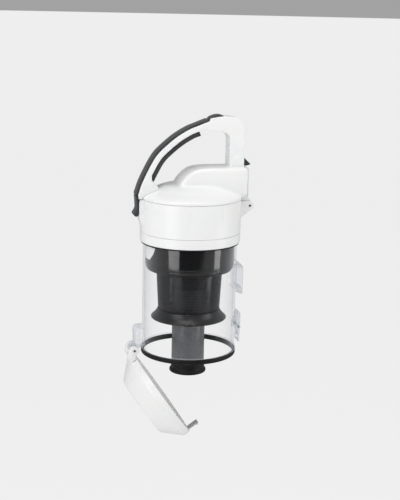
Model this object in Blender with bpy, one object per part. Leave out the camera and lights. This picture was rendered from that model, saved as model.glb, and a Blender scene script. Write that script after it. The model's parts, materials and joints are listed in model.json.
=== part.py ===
"""Lift-out dust container of a bagless upright vacuum cleaner, standing open at its bottom flap.

Sizes are in millimetres and are scaled to Blender's metres where a mesh is made. +Z runs up the
cyclone's axis, -Y is the front (handle foot and flap hinge) and +Y is the rear (outlet duct). Heights
are counted from the bin's bottom rim, and one empty then lowers the whole object so that the middle
of the carrying grip is at the world's origin.
"""

import math

import bmesh
import bpy
from mathutils import Vector

MM = 0.001
GRIP_HEIGHT = 316.0  # middle of the carrying grip above the bin's rim
GAP = 0.3  # left between pieces that touch
STEPS = 40  # sides of the large round pieces
TUBE_STEPS = 28
SMALL_STEPS = 16

# Clear bin
BIN_R, BIN_WALL, BIN_TOP = 66.5, 2.5, 166.0
RIM_R, RIM_LOW, RIM_HIGH = 68.2, 4.2, 5.8
SEAL_LOW, SEAL_HIGH, SEAL_IN_R = -3.2, 3.9, 64.4
HINGE_BLOCK_HALF = 16.0
INLET_Y, INLET_HALF, INLET_LOW, INLET_HIGH = 74.5, 19.0, 83.0, 129.0

# White head and the hinged cover on it
HEAD_R, HEAD_WALL = 71.2, 2.5
COLLAR_LOW, COLLAR_HIGH = 161.0, 174.7
HEAD_LOW, HEAD_HIGH = 175.0, 221.9
DECK_LOW, DECK_HIGH, DECK_HOLE_R = 177.5, 180.5, 27.0
COVER_LOW, COVER_WALL = 222.4, 2.4
DUCT_HALF, DUCT_REAR, DUCT_LOW, DUCT_TOP, DUCT_WALL = 25.0, 75.5, 225.0, 266.3, 2.5
COVER_HINGE = (83.0, 211.0)
COVER_BARREL_R = 6.3

# Handle
HANDLE_HALF, STRIP_HALF, GRIP_HALF = 13.0, 10.5, 10.5
STRIP_DEEP, BAND_DEEP, GRIP_DEEP = 2.8, 10.6, 17.4
COLUMN_FRONT, COLUMN_REAR, COLUMN_LOW = 52.0, 73.2, 266.6
COLUMN_WALL = 2.5
ARCH = [(-80.0, 229.4), (-74.1, 246.7), (-64.3, 267.3), (-54.6, 283.8), (-43.9, 295.4),
        (-25.3, 310.8), (-7.5, 321.5), (4.4, 326.3), (18.0, 331.6), (29.6, 335.0), (44.7, 336.9)]
STRIP_END, GRIP_START, GRIP_END = 0.833, 0.17, 0.74  # shares of the arch's length
BUTTON_FRONT, BUTTON_REAR, BUTTON_HALF = 22.5, 43.5, 7.5
ROD_FRONT, ROD_REAR, ROD_HALF = 64.0, 67.3, 2.2
ARM_LOW, ARM_HIGH = 322.2, 325.0
BUTTON_TRAVEL, CATCH_TRAVEL = 2.5, 4.0
CATCH_INNER, CATCH_LOW, CATCH_HIGH, CATCH_HALF = 61.8, 267.4, 278.4, 6.0
CAM_RISE = CATCH_TRAVEL / BUTTON_TRAVEL  # the catch's travel for each unit of the rod's
SHELF_LOW, SHELF_HIGH = 282.0, 284.0

# Latch on the front of the cover
LATCH_PIVOT = (-74.0, 226.6)
LATCH_HALF = 10.0
FOOT_SCREW_X, FOOT_SCREW_Y, FOOT_SCREW_LOW = 8.0, -61.0, 224.6

# Flap under the bin, and the rocker that lets go of it
FLAP_HINGE = (-81.0, 5.0)
FLAP_OPEN_DEG = 55.0
FLAP_R, FLAP_WALL = 70.0, 1.6
FLAP_TOP, FLAP_SKIRT_LOW, FLAP_FLOOR, FLAP_FLOOR_R = 0.7, -9.3, -34.9, 45.5
KNUCKLE_R = 6.6
ROCKER_PIVOT = (71.8, 33.0)
ROCKER_HALF = 10.0
HOOK_FRONT, HOOK_REAR = 70.2, 71.8

# Separator inside the bin
BAND_R, BAND_LOW, BAND_HIGH = 63.2, 122.9, 164.0
LABEL_LOW, LABEL_HIGH = 138.0, 156.5
SCREEN_TOP_R, SCREEN_TOP, SCREEN_LOW_R, SCREEN_LOW, SCREEN_WALL = 47.0, 117.8, 44.0, 63.0, 1.5
SKIRT_R, SKIRT_LOW = 54.0, 48.5
TUBE_R, TUBE_WALL, TUBE_LOW, TUBE_HIGH = 23.5, 2.0, -17.7, 92.0
BOOT_LIP_R, BOOT_LOW = 26.4, -32.7


# ---- Scene and helpers ----

def clear_scene():
    for obj in list(bpy.data.objects):
        bpy.data.objects.remove(obj, do_unlink=True)


def make_material(name, colour, roughness, metallic=0.0, transmission=0.0):
    material = bpy.data.materials.new(name)
    material.use_nodes = True
    shader = material.node_tree.nodes["Principled BSDF"]
    shader.inputs["Base Color"].default_value = (*colour, 1.0)
    shader.inputs["Roughness"].default_value = roughness
    shader.inputs["Metallic"].default_value = metallic
    shader.inputs["Transmission Weight"].default_value = transmission
    return material


def make_pivot(name, y, z, parent=None):
    """An empty on a joint's axis, at (y, z) in bin-rim millimetres, also where it hangs on another."""
    pivot = bpy.data.objects.new(name, None)
    bpy.context.scene.collection.objects.link(pivot)
    pivot["place"] = (0.0, y * MM, z * MM)
    hang(pivot, parent)
    return pivot


def hang(obj, parent):
    """Parents the object, and undoes the parent's own place for it."""
    obj.parent = parent
    own = Vector(obj.get("place", (0, 0, 0)))
    obj.location = own - Vector(parent["place"]) if parent else own


def add_object(name, bm, material, pivot, bevel=0.0, bevel_segments=2):
    """Turns a bmesh drawn in bin-rim millimetres into an object that hangs on its pivot empty."""
    bmesh.ops.recalc_face_normals(bm, faces=bm.faces)
    bmesh.ops.scale(bm, vec=(MM, MM, MM), verts=bm.verts)
    mesh = bpy.data.meshes.new(name)
    bm.to_mesh(mesh)
    bm.free()
    mesh.shade_smooth()
    mesh.set_sharp_from_angle(angle=math.radians(35))
    obj = bpy.data.objects.new(name, mesh)
    bpy.context.scene.collection.objects.link(obj)
    if material:
        mesh.materials.append(material)
    hang(obj, pivot)
    if bevel:
        modifier = obj.modifiers.new("edges", "BEVEL")
        modifier.width = bevel * MM
        modifier.segments = bevel_segments
        modifier.limit_method = "ANGLE"
        modifier.angle_limit = math.radians(40)
    return obj


def lathe_mesh(profile, steps=STEPS):
    """Revolves a closed (radius, height) outline about the cyclone's axis."""
    bm = bmesh.new()
    verts = [bm.verts.new((r, 0, z)) for r, z in profile]
    on_axis = profile[0][0] == 0 and profile[-1][0] == 0
    pairs = list(zip(verts, verts[1:])) + ([] if on_axis else [(verts[-1], verts[0])])
    edges = [bm.edges.new(pair) for pair in pairs]
    bmesh.ops.spin(bm, geom=verts + edges, cent=(0, 0, 0), axis=(0, 0, 1), angle=2 * math.pi,
                   steps=steps, use_merge=True)
    bmesh.ops.remove_doubles(bm, verts=bm.verts, dist=0.001)
    return bm


def prism_mesh(outline, low, high=None, along="X"):
    """Extrudes an outline from low to high: (y, z) along X, (x, z) along Y or (x, y) along Z."""
    if high is None:
        low, high = -low, low
    lay = {"X": lambda a, b: (low, a, b), "Y": lambda a, b: (a, low, b), "Z": lambda a, b: (a, b, low)}
    step = {"X": (high - low, 0, 0), "Y": (0, high - low, 0), "Z": (0, 0, high - low)}
    bm = bmesh.new()
    face = bm.faces.new([bm.verts.new(lay[along](a, b)) for a, b in outline])
    pushed = bmesh.ops.extrude_face_region(bm, geom=[face])["geom"]
    bmesh.ops.translate(bm, verts=[v for v in pushed if isinstance(v, bmesh.types.BMVert)], vec=step[along])
    return bm


def box_mesh(x0, x1, y0, y1, z0, z1):
    return prism_mesh([(y0, z0), (y1, z0), (y1, z1), (y0, z1)], x0, x1)


def rod_mesh(centre, radius, low, high, steps=SMALL_STEPS):
    """A round bar along X about (y, z)."""
    return prism_mesh(circle(centre, radius, steps), low, high)


def circle(centre, radius, steps=SMALL_STEPS):
    turns = [2 * math.pi * i / steps for i in range(steps)]
    return [(centre[0] + radius * math.cos(t), centre[1] + radius * math.sin(t)) for t in turns]


def arc(centre, radius, first, last, steps=6):
    angles = [math.radians(first + (last - first) * i / steps) for i in range(steps + 1)]
    return [(centre[0] + radius * math.cos(t), centre[1] + radius * math.sin(t)) for t in angles]


def boolean(obj, bm, operation, name):
    """Joins a helper mesh to the object, or cuts it away; the helper isn't part of the object."""
    helper = add_object(f"{obj.name}_{name}", bm, None, obj.parent)
    helper.hide_render = True
    helper.display_type = "WIRE"
    modifier = obj.modifiers.new(name, "BOOLEAN")
    modifier.operation = operation
    modifier.solver = "EXACT"
    modifier.object = helper


def join(obj, bm, name):
    boolean(obj, bm, "UNION", name)


def cut(obj, bm, name):
    boolean(obj, bm, "DIFFERENCE", name)


def coil(name, material, pivot, centre, axis, radius, wire, length, turns):
    """A coil spring of round wire about centre, along "X" or "Z"."""
    per_turn = 8
    count = int(turns * per_turn) + 1
    curve = bpy.data.curves.new(name, "CURVE")
    curve.dimensions = "3D"
    curve.bevel_depth = wire * MM
    curve.bevel_resolution = 1
    curve.use_fill_caps = True
    spline = curve.splines.new("POLY")
    spline.points.add(count - 1)
    for i, point in enumerate(spline.points):
        turn = 2 * math.pi * i / per_turn
        along = length * (i / (count - 1) - 0.5)
        around = radius * math.cos(turn), radius * math.sin(turn)
        place = (along, *around) if axis == "X" else (*around, along)
        point.co = (*(Vector(centre) + Vector(place)) * MM, 1.0)
    curve.materials.append(material)
    obj = bpy.data.objects.new(name, curve)
    bpy.context.scene.collection.objects.link(obj)
    hang(obj, pivot)
    return obj


# ---- The arch of the handle, as one smooth curve and its offsets ----

def arch_samples(per_span=3):
    """Points of a Catmull-Rom curve through ARCH, with the outward normal at each."""
    points = [Vector(p) for p in ARCH]
    points = [2 * points[0] - points[1], *points, 2 * points[-1] - points[-2]]
    curve = []
    for a, b, c, d in zip(points, points[1:], points[2:], points[3:]):
        for i in range(per_span):
            t = i / per_span
            curve.append(0.5 * (2 * b + (c - a) * t + (2 * a - 5 * b + 4 * c - d) * t * t
                                + (3 * b - a - 3 * c + d) * t ** 3))
    curve.append(points[-2])
    samples = []
    for i, point in enumerate(curve):
        along = (curve[min(i + 1, len(curve) - 1)] - curve[max(i - 1, 0)]).normalized()
        samples.append((point, Vector((-along.y, along.x))))
    return samples


def arch_offset(depth, first=0.0, last=1.0):
    """The arch moved inwards by depth, between two shares of its length."""
    samples = arch_samples()
    top = len(samples) - 1
    chosen = samples[round(first * top): round(last * top) + 1]
    return [tuple(point - normal * depth) for point, normal in chosen]


# ---- Sub-parts of the held body ----

def build_bin(clear, root):
    inner = BIN_R - BIN_WALL
    obj = add_object("clear_bin", lathe_mesh([
        (BIN_R, BIN_TOP), (BIN_R, RIM_HIGH), (RIM_R, RIM_HIGH), (RIM_R, RIM_LOW), (inner, RIM_LOW),
        (inner, BIN_TOP)]), clear, root)
    wall_in = BIN_R - 1.2
    join(obj, prism_mesh([(-wall_in, 12.6), (-78.5, 12.6), (-79.0, 33.0), (-75.5, 37.0),
                          (-wall_in + 3, 37.0)], HINGE_BLOCK_HALF), "hinge_block")
    join(obj, prism_mesh([(-wall_in + 1, 14.0), (-wall_in + 1, 7.5), (-76.0, 7.5), (-84.0, 10.0),
                          (-80.0, 15.0)], 8.6), "hinge_web")
    join(obj, rod_mesh(FLAP_HINGE, KNUCKLE_R - 0.6, -8.7, 8.7), "hinge_knuckle")
    cut(obj, rod_mesh(FLAP_HINGE, 1.75, -30, 30, 12), "hinge_bore")
    join(obj, prism_mesh([(wall_in - 5, INLET_LOW + 6), (INLET_Y, INLET_LOW), (INLET_Y, INLET_HIGH - 5),
                          (INLET_Y - 5, INLET_HIGH), (wall_in - 5, INLET_HIGH)], INLET_HALF), "inlet")
    cut(obj, box_mesh(-15, 15, 50, 80, INLET_LOW + 9, INLET_HIGH - 8), "inlet_way")
    # Two ears carry the rocker's pin.
    for side in (-1, 1):
        ear = [(wall_in - 2, 26), (ROCKER_PIVOT[0], 28.6)] + arc(ROCKER_PIVOT, 3.0, -60, 60) + [
            (ROCKER_PIVOT[0], 37.4), (wall_in - 2, 40)]
        join(obj, prism_mesh(ear, *sorted((side * (ROCKER_HALF + GAP + 0.2), side * 13.2))), f"ear{side}")
    cut(obj, rod_mesh(ROCKER_PIVOT, 1.35, -30, 30, 12), "rocker_bore")
    # Nothing of the blocks is left inside the round bore.
    cut(obj, lathe_mesh([(0, BIN_TOP + 5), (inner, BIN_TOP + 5), (inner, -8), (0, -8)]), "bore")


def build_bin_fittings(rubber, steel, root):
    add_object("bin_rim_seal", lathe_mesh([
        (RIM_R - 0.2, SEAL_HIGH - 0.8), (RIM_R - 0.2, SEAL_LOW + 1.2), (RIM_R - 1.4, SEAL_LOW),
        (SEAL_IN_R, SEAL_LOW), (SEAL_IN_R, SEAL_HIGH), (RIM_R - 1.0, SEAL_HIGH)]), rubber, root)
    add_object("flap_hinge_pin", rod_mesh(FLAP_HINGE, 1.5, -16.6, 16.6, 12), steel, root)
    add_object("rocker_pin", rod_mesh(ROCKER_PIVOT, 1.1, -13.4, 13.4, 12), steel, root)
    add_object("collar_seal", lathe_mesh([
        (69.6, 160.7), (69.6, 158.9), (BIN_R + GAP, 158.9), (BIN_R + GAP, 160.7)]), rubber, root)


def build_separator(gloss, mesh_black, grey, rubber, label, root):
    inner = BAND_R - 2.2
    add_object("shroud_band", lathe_mesh([
        (BAND_R, BAND_HIGH), (BAND_R, 131.0), (BAND_R - 0.9, 130.6), (BAND_R - 0.9, 129.8),
        (BAND_R - 0.2, 129.4), (BAND_R - 1.2, BAND_LOW + 0.6), (BAND_R - 1.8, BAND_LOW),
        (inner - 1.0, BAND_LOW), (inner - 1.0, 131), (inner, 134), (inner, BAND_HIGH)]), gloss, root)
    add_object("shroud_step", lathe_mesh([
        (61.0, BAND_LOW - GAP), (60.4, 120.6), (54.0, 118.6), (SCREEN_TOP_R + 0.6, 118.1),
        (SCREEN_TOP_R - 6.0, 118.1), (SCREEN_TOP_R - 6.0, 120.4), (57.0, BAND_LOW - GAP)]),
        mesh_black, root)
    add_object("perforated_screen", lathe_mesh([
        (SCREEN_TOP_R, SCREEN_TOP), (SCREEN_LOW_R, SCREEN_LOW),
        (SCREEN_LOW_R - SCREEN_WALL, SCREEN_LOW), (SCREEN_TOP_R - SCREEN_WALL, SCREEN_TOP)]),
        mesh_black, root)
    low_r = SCREEN_LOW_R
    add_object("skirt", lathe_mesh([
        (low_r + 0.4, SCREEN_LOW - GAP), (low_r + 1.2, 60.0), (low_r + 4.0, 55.5), (SKIRT_R - 1.4, 50.8),
        (SKIRT_R, SKIRT_LOW + 1.2), (SKIRT_R - 0.3, SKIRT_LOW), (SKIRT_R - 1.6, SKIRT_LOW),
        (low_r + 1.5, 54.6), (low_r - 1.2, 59.6), (TUBE_R + GAP + 2, 60.0), (TUBE_R + GAP + 0.2, 60.8),
        (TUBE_R + GAP + 0.2, SCREEN_LOW - GAP)]), mesh_black, root)
    add_object("dust_tube", lathe_mesh([
        (TUBE_R, TUBE_HIGH), (TUBE_R, TUBE_LOW), (TUBE_R - TUBE_WALL, TUBE_LOW),
        (TUBE_R - TUBE_WALL, TUBE_HIGH)], TUBE_STEPS), grey, root)
    add_object("tube_boot", lathe_mesh([
        (TUBE_R + 0.9, TUBE_LOW - GAP), (TUBE_R + 0.6, -24.0), (TUBE_R + 1.0, -26.5), (BOOT_LIP_R, -29.0),
        (BOOT_LIP_R, BOOT_LOW + 1.0), (BOOT_LIP_R - 1.5, BOOT_LOW), (BOOT_LIP_R - 4.5, BOOT_LOW),
        (BOOT_LIP_R - 5.5, -28.0), (TUBE_R - 3.4, -24), (TUBE_R - 3.4, TUBE_LOW - GAP)], TUBE_STEPS),
        rubber, root)
    add_object("inner_cone", lathe_mesh([
        (36.0, 160.0), (36.0, 150.0), (TUBE_R - 2.0, 94.0), (TUBE_R - 2.0, TUBE_HIGH + GAP),
        (TUBE_R - 4.0, TUBE_HIGH + GAP), (TUBE_R - 4.0, 94.6), (33.8, 150.4), (33.8, 160.0)], TUBE_STEPS),
        grey, root)
    finder = add_object("vortex_finder", lathe_mesh([
        (62.8, 167.4), (62.8, BAND_HIGH + GAP), (38.0, BAND_HIGH + GAP), (38.0, 160.4), (19.0, 160.4),
        (17.0, 157.0), (15.5, 128.0), (13.9, 128.0), (15.2, 157.0), (16.5, 167.4)], TUBE_STEPS), grey, root)
    # Slots in the plate let the screened air into the cone's mouth from above.
    for i in range(6):
        turn = math.radians(60 * i + 30)
        bm = prism_mesh(circle((50 * math.cos(turn), 50 * math.sin(turn)), 6.0, 14), 160, 170, "Z")
        cut(finder, bm, f"port{i}")
    plate = add_object("label_plate", lathe_mesh([
        (BAND_R + 0.45, LABEL_HIGH), (BAND_R + 0.45, LABEL_LOW), (BAND_R + 0.2, LABEL_LOW),
        (BAND_R + 0.2, LABEL_HIGH)], 80), label, root)
    shield = prism_mesh([(-31.5, 160.0), (31.5, 160.0), (22.0, 143.0), (14.0, 130.0), (-14.0, 130.0),
                         (-22.0, 143.0)], -70, -20, "Y")
    boolean(plate, shield, "INTERSECT", "shield")


def build_head(white, black_rubber, grey, paper, steel, root):
    inner = HEAD_R - HEAD_WALL
    add_object("collar_ring", lathe_mesh([
        (HEAD_R - 0.4, COLLAR_HIGH), (HEAD_R, COLLAR_HIGH - 0.5), (HEAD_R, COLLAR_LOW + 0.8),
        (HEAD_R - 0.8, COLLAR_LOW), (BIN_R + GAP, COLLAR_LOW), (BIN_R + GAP, BIN_TOP + GAP),
        (BIN_R - 4.0, BIN_TOP + GAP + 1.4), (BIN_R - 4.0, 169.6), (inner, 170.6),
        (inner, COLLAR_HIGH)]), white, root)
    obj = add_object("head_body", lathe_mesh([
        (HEAD_R - 0.3, HEAD_HIGH), (HEAD_R, HEAD_HIGH - 0.3), (HEAD_R, HEAD_LOW + 0.4),
        (HEAD_R - 0.4, HEAD_LOW), (inner, HEAD_LOW), (inner, DECK_LOW), (DECK_HOLE_R, DECK_LOW),
        (DECK_HOLE_R, DECK_HIGH), (inner, DECK_HIGH), (inner, HEAD_HIGH)]), white, root)
    join(obj, prism_mesh([(-69.5, 186.0), (-71.0, 186.0), (-75.0, 196.0), (-75.0, 219.0), (-73.5, 221.9),
                          (-69.5, 221.9)], 10.5), "catch_boss")
    cut(obj, prism_mesh([(-77, 201.0), (-72.0, 201.0), (-72.0, 206.2), (-77, 206.2)], 6.8), "catch_slot")
    y, z = COVER_HINGE
    for side in (-1, 1):
        lug = [(70.2, 194.0), (y + 1.5, z - 6.1)] + arc(COVER_HINGE, COVER_BARREL_R, -75, 100) + [
            (70.2, z + 5.5)]
        join(obj, prism_mesh(lug, *sorted((side * 6.4, side * 14.0))), f"lug{side}")
    cut(obj, rod_mesh(COVER_HINGE, 1.75, -20, 20, 12), "hinge_bore")
    add_object("cover_hinge_pin", rod_mesh(COVER_HINGE, 1.5, -14.6, 14.6, 12), steel, root)
    add_object("deck_seal", lathe_mesh([
        (DECK_HOLE_R + 5, DECK_LOW - GAP), (DECK_HOLE_R + 5, 167.9), (DECK_HOLE_R + 2, 167.9),
        (DECK_HOLE_R + 2, DECK_LOW - GAP)], TUBE_STEPS), black_rubber, root)
    low, high = DECK_HIGH + 2.4, 214.0
    add_object("filter_frame", lathe_mesh([
        (63.0, low - 2.1), (68.2, low - 2.1), (68.2, low + 1.2), (63.0, low + 1.2)], TUBE_STEPS), grey, root)
    pleats = 30
    star = []
    for i in range(2 * pleats):
        radius = 62.4 if i % 2 else 46.0
        turn = math.pi * i / pleats
        star.append((radius * math.cos(turn), radius * math.sin(turn)))
    obj = add_object("filter_pleats", prism_mesh(star, low, high, "Z"), paper, root)
    back = [(0.955 * x if i % 2 else 0.94 * x, 0.955 * y if i % 2 else 0.94 * y)
            for i, (x, y) in enumerate(star)]
    cut(obj, prism_mesh(back, low - 1, high + 1, "Z"), "back")
    add_object("filter_end_cap", lathe_mesh([
        (0, high + 2.2), (62.7, high + 2.2), (62.7, high + 0.3), (0, high + 0.3)], TUBE_STEPS), grey, root)
    add_object("filter_foam", lathe_mesh([
        (42.0, low + 25), (42.0, low - 2.1), (32.0, low - 2.1), (32.0, low + 25)], 32), paper, root)


# ---- Cover, duct and handle: one body that swings back on the rear hinge ----

def dome_profile(shrink=0.0):
    """The dome's outline from its rim to its top; the inner one is lower by the wall."""
    return [(71.0 - shrink, 226.0 - shrink * 0.4), (64.5 - shrink * 0.9, 229.6 - shrink * 0.6),
            (55.0 - shrink * 0.4, 233.8 - shrink), (44.0, 239.0 - shrink), (30.0, 241.8 - shrink),
            (0, 242.6 - shrink)]


DUCT_NOSE = [(-21.0, 243.0), (-17.5, 248.5), (-12.0, 255.0), (-6.0, 260.0), (1.0, 263.6), (9.0, 265.5),
             (20.0, DUCT_TOP)]


def build_cover(white, rubber, pale_rubber, pivot):
    rim = COVER_LOW
    obj = add_object("top_cover", lathe_mesh(
        dome_profile()[::-1] + [(HEAD_R, rim + 0.5), (HEAD_R - 0.4, rim), (HEAD_R - COVER_WALL, rim)]
        + dome_profile(COVER_WALL)), white, pivot)
    outer = [(-21.0, 236.0)] + DUCT_NOSE + [(DUCT_REAR, DUCT_TOP), (DUCT_REAR, DUCT_LOW), (60.0, DUCT_LOW),
                                            (50.0, 232.0)]
    join(obj, prism_mesh(outer, DUCT_HALF), "duct")
    # The duct's air way is open to the dome below it and at the rear.
    past, floor = DUCT_REAR + 5, DUCT_LOW + 4.5
    way = [(-14.0, DUCT_LOW - 1)] + [(y + 1.3 * DUCT_WALL, z - DUCT_WALL) for y, z in DUCT_NOSE]
    way += [(past, DUCT_TOP - DUCT_WALL), (past, floor), (50.0, floor), (50.0, DUCT_LOW - 1)]
    cut(obj, prism_mesh(way, DUCT_HALF - DUCT_WALL), "air_way")
    y, z = COVER_HINGE
    arm = [(72.0, rim + 0.2), (70.0, rim + 0.2), (70.0, rim + 4.1), (74.5, rim + 4.1), (75.0, DUCT_LOW - 0.2),
           (y - 1.0, z + 11.0)] + arc(COVER_HINGE, COVER_BARREL_R, 40, -165, 12) + [(73.6, 214.0)]
    join(obj, prism_mesh(arm, 6.0), "hinge_arm")
    cut(obj, rod_mesh(COVER_HINGE, 1.75, -20, 20, 12), "hinge_bore")
    for side in (-1, 1):
        cut(obj, screw_mesh(side * FOOT_SCREW_X, 1.5 * GAP), f"screw_hole{side}")
    inner = HEAD_R - HEAD_WALL
    add_object("cover_gasket", lathe_mesh([
        (inner - 0.7, rim - 0.8), (inner - 2.9, rim - 3.4), (inner - 4.4, rim - 3.4), (inner - 4.4, rim + 1.8),
        (inner - 1.6, rim + 1.8), (inner - 1.6, rim - 0.8)]), rubber, pivot)
    frame = add_object("outlet_seal", box_mesh(-24.4, 24.4, DUCT_REAR + GAP, DUCT_REAR + 1.6,
                                               DUCT_LOW + 0.4, DUCT_TOP - 0.4), pale_rubber, pivot)
    cut(frame, box_mesh(-21, 21, 70, 80, floor + 0.4, DUCT_TOP - 4), "mouth")


def screw_mesh(x, slack=0.0):
    """A screw up through the dome into the handle's front foot; slack makes its hole."""
    low, neck, top = FOOT_SCREW_LOW, FOOT_SCREW_LOW + 1.8, FOOT_SCREW_LOW + 9.0
    bm = lathe_mesh([(0, low - slack), (2.6 + slack, low - slack), (2.6 + slack, neck + slack),
                     (1.3 + slack, neck + slack), (1.3 + slack, top + slack), (0, top + slack)], 12)
    bmesh.ops.translate(bm, verts=bm.verts, vec=(x, FOOT_SCREW_Y, 0))
    return bm


def build_handle(white, dark, steel, pivot):
    inner = [p for p in arch_offset(BAND_DEEP, 0.0, GRIP_END)[::-1] if p[1] > 255.0]
    outline = [(-76.8, 229.0)] + arch_offset(STRIP_DEEP + GAP, 0.0, STRIP_END)
    outline += arch_offset(0.0, STRIP_END + 0.03, 1.0)
    outline += arc((COLUMN_REAR - 22.5, 314.5), 22.5, 70, 5, 6) + [(COLUMN_REAR, COLUMN_LOW)]
    outline += [(COLUMN_FRONT, COLUMN_LOW)] + arc((COLUMN_FRONT - 11, 304.0), 11.0, 0, 85, 5)
    outline += [(34.0, 316.6), (24.0, 317.0)] + inner
    outline += [(-58.0, 246.4), (-56.2, 245.6), (-52.0, 242.0), (-49.0, 239.6), (-49.4, 237.4), (-55.0, 234.7),
                (-64.6, 230.5), (-71.6, 226.8), (-71.6, 223.0), (-76.2, 223.0)]
    obj = add_object("handle_shell", prism_mesh(outline, HANDLE_HALF), white, pivot, 1.6, 1)
    half = HANDLE_HALF - COLUMN_WALL
    front, rear = COLUMN_FRONT + COLUMN_WALL, COLUMN_REAR - COLUMN_WALL
    cut(obj, box_mesh(-half, half, front, rear, 255, SHELF_LOW), "lower_hollow")
    cut(obj, box_mesh(-half, half, front, rear, SHELF_HIGH, 319.9), "upper_hollow")
    cut(obj, box_mesh(-3.0, 3.0, ROD_FRONT - 0.8, ROD_REAR + 0.8, 275, 300), "rod_hole")
    cut(obj, box_mesh(-4.2, 4.2, BUTTON_FRONT + 1.5, ROD_REAR + 0.8, ARM_LOW - BUTTON_TRAVEL - 0.5,
                      ARM_HIGH + 0.4), "arm_way")
    cut(obj, box_mesh(-BUTTON_HALF - 0.5, BUTTON_HALF + 0.5, BUTTON_FRONT, BUTTON_REAR,
                      ARM_HIGH + 0.3, 350), "button_well")
    cut(obj, box_mesh(-CATCH_HALF - 0.4, CATCH_HALF + 0.4, rear - 2, 80, 255, CATCH_HIGH + 0.4),
        "catch_window")
    cut(obj, prism_mesh([(-90, 219.0), (-70.9, 219.0), (-70.9, 231.4), (-90, 231.4)], 4.5), "latch_slot")
    cut(obj, rod_mesh(LATCH_PIVOT, 1.25, -11, 20, 12), "latch_bore")
    for side in (-1, 1):
        cut(obj, screw_mesh(side * FOOT_SCREW_X, GAP), f"screw_hole{side}")
        add_object(f"foot_screw_{'left' if side < 0 else 'right'}", screw_mesh(side * FOOT_SCREW_X),
                   steel, pivot)
    add_object("grip_strip", prism_mesh(arch_offset(0.0, 0.0, STRIP_END)
                                        + arch_offset(STRIP_DEEP, 0.0, STRIP_END)[::-1], STRIP_HALF),
               dark, pivot)
    add_object("inner_grip", prism_mesh(
        arch_offset(BAND_DEEP + GAP, GRIP_START, GRIP_END - 0.04)
        + arch_offset(GRIP_DEEP, GRIP_START - 0.035, GRIP_END - 0.04)[::-1], GRIP_HALF),
        dark, pivot)


def build_dock_release(dark, grey, steel, cover):
    """The button on the grip, its push rod in the column and the catch that the rod's cam draws in."""
    button = make_pivot("release_button_axis", 33.0, ARM_HIGH, cover)
    low = ARM_HIGH + 0.3 + BUTTON_TRAVEL + 0.4
    front, rear = BUTTON_FRONT + 0.4, BUTTON_REAR - 0.4
    cap = [(front, low), (rear, low), (rear, 337.6), (39.0, 338.9), (33.0, 338.6), (27.0, 336.6),
           (front, 334.2)]
    obj = add_object("release_button", prism_mesh(cap, BUTTON_HALF), dark, button, 0.7, 2)
    join(obj, box_mesh(-3.4, 3.4, 27, 38, ARM_HIGH + GAP, low + 1), "stem")
    # The rod's foot is cut on the cam's slope: it falls by one where it runs back by CAM_RISE.
    rod_low = 271.4
    rod = [(26.0, ARM_LOW), (ROD_FRONT, ARM_LOW), (ROD_FRONT, rod_low + (ROD_REAR - ROD_FRONT) / CAM_RISE),
           (ROD_REAR, rod_low), (ROD_REAR, ARM_HIGH), (26.0, ARM_HIGH)]
    obj = add_object("push_rod", prism_mesh(rod, ROD_HALF), grey, button)
    join(obj, box_mesh(-5.2, 5.2, 60.6, 70.3, 299.6, 301.6), "spring_plate")
    middle = (ROD_FRONT + ROD_REAR) / 2
    coil("catch_spring", steel, cover, (0, middle, (SHELF_HIGH + 299.6) / 2), "Z", 4.5, 0.6, 13.6, 5)
    catch = make_pivot("dock_catch_axis", CATCH_INNER, (CATCH_LOW + CATCH_HIGH) / 2, cover)
    body = [(CATCH_INNER, CATCH_LOW), (75.0, CATCH_LOW), (78.4, 266.8), (84.6, 268.8), (74.6, CATCH_HIGH),
            (CATCH_INNER, CATCH_HIGH)]
    obj = add_object("dock_catch", prism_mesh(body, CATCH_HALF), dark, catch)
    line = ROD_REAR + CAM_RISE * rod_low - GAP * math.hypot(1, CAM_RISE)
    wall = ROD_REAR + CATCH_TRAVEL + 0.7
    slope = [(wall, 281.0), (wall, (line - wall) / CAM_RISE), (line - CAM_RISE * 281.0, 281.0)]
    cut(obj, prism_mesh(slope, ROD_HALF + 0.4), "cam_slot")


def build_cover_latch(dark, steel, cover):
    latch = make_pivot("cover_latch_axis", *LATCH_PIVOT, cover)
    outline = [(-77.2, 227.4), (-76.3, 217.4), (-75.7, 206.5)] + arc((-79.0, 201.4), 3.3, 20, -170, 8)
    outline += [(-80.6, 206.4), (-79.0, 209.6), (-79.4, 217.4), (-80.2, 227.2)]
    obj = add_object("cover_latch", prism_mesh(outline, LATCH_HALF), dark, latch, 0.6, 2)
    join(obj, prism_mesh([(-77.6, 202.0), (-72.6, 202.0), (-72.6, 203.8), (-73.6, 205.3), (-77.6, 205.3)],
                         6.0), "hook")
    join(obj, prism_mesh([(-77.6, 221.5), (-74.0, 223.6)] + arc(LATCH_PIVOT, 2.6, -80, 100)
                         + [(-77.6, 227.0)], 4.0), "ear")
    cut(obj, rod_mesh(LATCH_PIVOT, 1.3, -20, 20, 12), "bore")
    add_object("latch_pin", rod_mesh(LATCH_PIVOT, 1.0, -9.6, 9.6, 12), steel, cover)


# ---- Flap and rocker ----

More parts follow.
